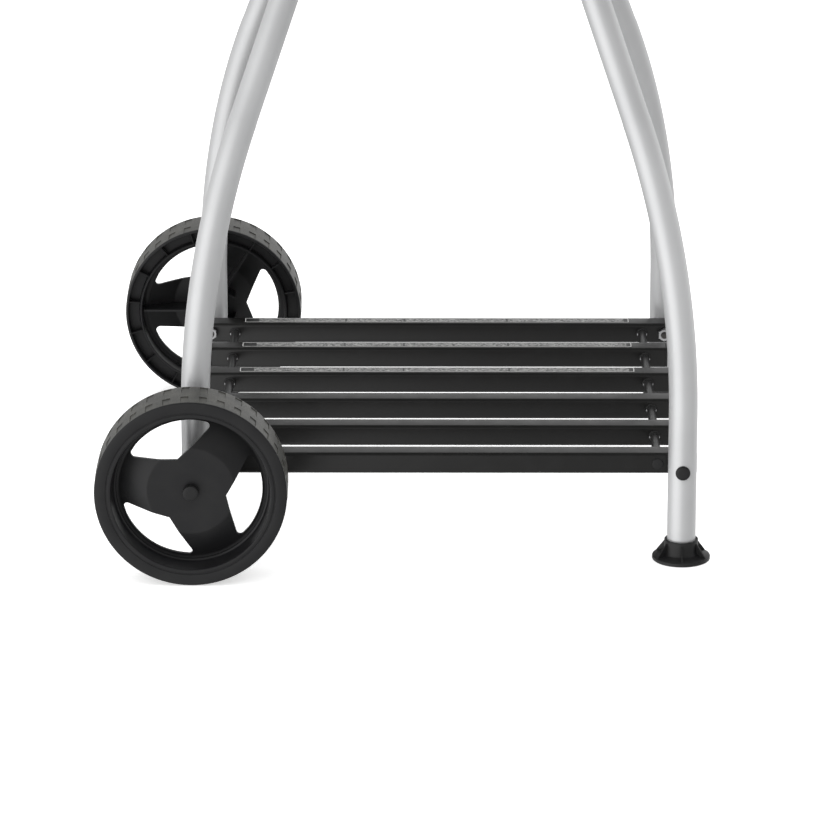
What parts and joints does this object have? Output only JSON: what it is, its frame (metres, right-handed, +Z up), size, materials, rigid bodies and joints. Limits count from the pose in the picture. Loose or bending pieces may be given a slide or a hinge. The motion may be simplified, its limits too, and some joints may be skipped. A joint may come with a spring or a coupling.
{
  "type": "kettle charcoal grill",
  "caption": "Round covered charcoal grill on a cart with curved tube legs, a slatted shelf, wheels on one side and feet on the other.",
  "frame": {"origin": "on the ground, midway between the four legs, below the kettle's axis", "axes": "+X towards the two feet (the wheels are on -X), +Y to the back, +Z up"},
  "size_m": [0.72, 0.682, 1.093],
  "materials": {
    "leg_paint": "satin silver paint",
    "slat_paint": "gloss black powder coat",
    "black_plastic": "fine textured",
    "rod_black": "blackened steel",
    "sticker": "printed film, blank",
    "zinc_steel": "zinc plated",
    "wheel_plastic": "moulded, satin",
    "black_enamel": "gloss porcelain enamel",
    "grate_steel": "plated wire",
    "aluminium_sheet": "rolled sheet",
    "bracket_steel": "pressed steel",
    "grip_plastic": "moulded nylon",
    "gauge_steel": "spun steel",
    "clear_glass": "clear",
    "needle_red": "satin"
  },
  "bodies": {
    "cart": {"leg_front_left": "leg_paint", "leg_front_right": "leg_paint", "leg_rear_left": "leg_paint", "leg_rear_right": "leg_paint", "shelf_slat_1": "slat_paint", "shelf_slat_2": "slat_paint", "shelf_slat_3": "slat_paint", "shelf_slat_4": "slat_paint", "shelf_slat_5": "slat_paint", "shelf_slat_6": "slat_paint", "slat_end_caps": "black_plastic", "shelf_rod_left": "rod_black", "shelf_rod_right": "rod_black", "rod_clips": "rod_black", "rod_end_plugs": "black_plastic", "shelf_labels": "sticker", "leg_bolts": "zinc_steel", "bolt_caps": "black_plastic", "shelf_nuts": "zinc_steel", "foot_front": "black_plastic", "foot_rear": "black_plastic", "leg_end_plugs": "black_plastic", "axle_spacers": "black_plastic", "axle_washers": "zinc_steel", "socket_front_left": "black_enamel", "socket_front_right": "black_enamel", "socket_rear_left": "black_enamel", "socket_rear_right": "black_enamel", "socket_screws": "zinc_steel", "bowl": "black_enamel", "grate_rests": "zinc_steel", "damper_rivet": "zinc_steel", "ash_hanger": "aluminium_sheet", "bracket_left": "bracket_steel", "bracket_right": "bracket_steel", "grip_left": "grip_plastic", "grip_right": "grip_plastic", "bracket_screws": "zinc_steel", "axle_bolts": "zinc_steel"},
    "wheel_front": {"wheel_front": "wheel_plastic", "hub_cap_front": "black_plastic"},
    "wheel_rear": {"wheel_rear": "wheel_plastic", "hub_cap_rear": "black_plastic"},
    "lid": {"lid": "black_enamel", "lid_handle_posts": "bracket_steel", "lid_grip": "grip_plastic", "lid_heat_shield": "aluminium_sheet", "lid_handle_screws": "zinc_steel", "lid_damper_rivet": "zinc_steel", "gauge_case": "gauge_steel", "gauge_glass": "clear_glass", "gauge_stem": "zinc_steel"},
    "lid_damper": {"lid_damper": "aluminium_sheet"},
    "gauge_needle": {"gauge_needle": "needle_red"},
    "cooking_grate": {"cooking_grate": "grate_steel", "grate_handles": "grate_steel"},
    "charcoal_grate": {"charcoal_grate": "grate_steel"},
    "bowl_damper": {"bowl_damper": "aluminium_sheet", "damper_knob": "black_plastic"},
    "ash_catcher": {"ash_catcher": "aluminium_sheet"}
  },
  "joints": [
    {"name": "wheel_front_spin", "type": "hinge", "parent": "cart", "child": "wheel_front", "pos_m": [-0.2565, -0.3135, 0.1], "axis": [0, 1, 0], "continuous": true},
    {"name": "wheel_rear_spin", "type": "hinge", "parent": "cart", "child": "wheel_rear", "pos_m": [-0.2565, 0.3135, 0.1], "axis": [0, 1, 0], "continuous": true},
    {"name": "lid_lift", "type": "slide", "parent": "cart", "child": "lid", "axis": [0, 0, 1], "range_m": [0, 0.45]},
    {"name": "cooking_grate_lift", "type": "slide", "parent": "cart", "child": "cooking_grate", "axis": [0, 0, 1], "range_m": [0, 0.225]},
    {"name": "charcoal_grate_lift", "type": "slide", "parent": "cart", "child": "charcoal_grate", "axis": [0, 0, 1], "range_m": [0, 0.09]},
    {"name": "lid_damper_turn", "type": "hinge", "parent": "lid", "child": "lid_damper", "pos_m": [0, 0.14331, 0.98414], "axis": [0, 0.3746, 0.9272], "range_deg": [0, 45]},
    {"name": "gauge_needle_turn", "type": "hinge", "parent": "lid", "child": "gauge_needle", "pos_m": [0, -0.16422, 0.98159], "axis": [0, 0.4226, -0.9063], "range_deg": [0, 270]},
    {"name": "bowl_damper_turn", "type": "hinge", "parent": "cart", "child": "bowl_damper", "pos_m": [0, 0, 0.605], "axis": [0, 0, 1], "range_deg": [0, 34]},
    {"name": "ash_catcher_drop", "type": "slide", "parent": "cart", "child": "ash_catcher", "axis": [0, 0, -1], "range_m": [0, 0.12]}
  ],
  "couplings": [
    {"joint": "cooking_grate_lift", "follows": "lid_lift", "ratio": 0.5},
    {"joint": "charcoal_grate_lift", "follows": "lid_lift", "ratio": 0.2}
  ]
}
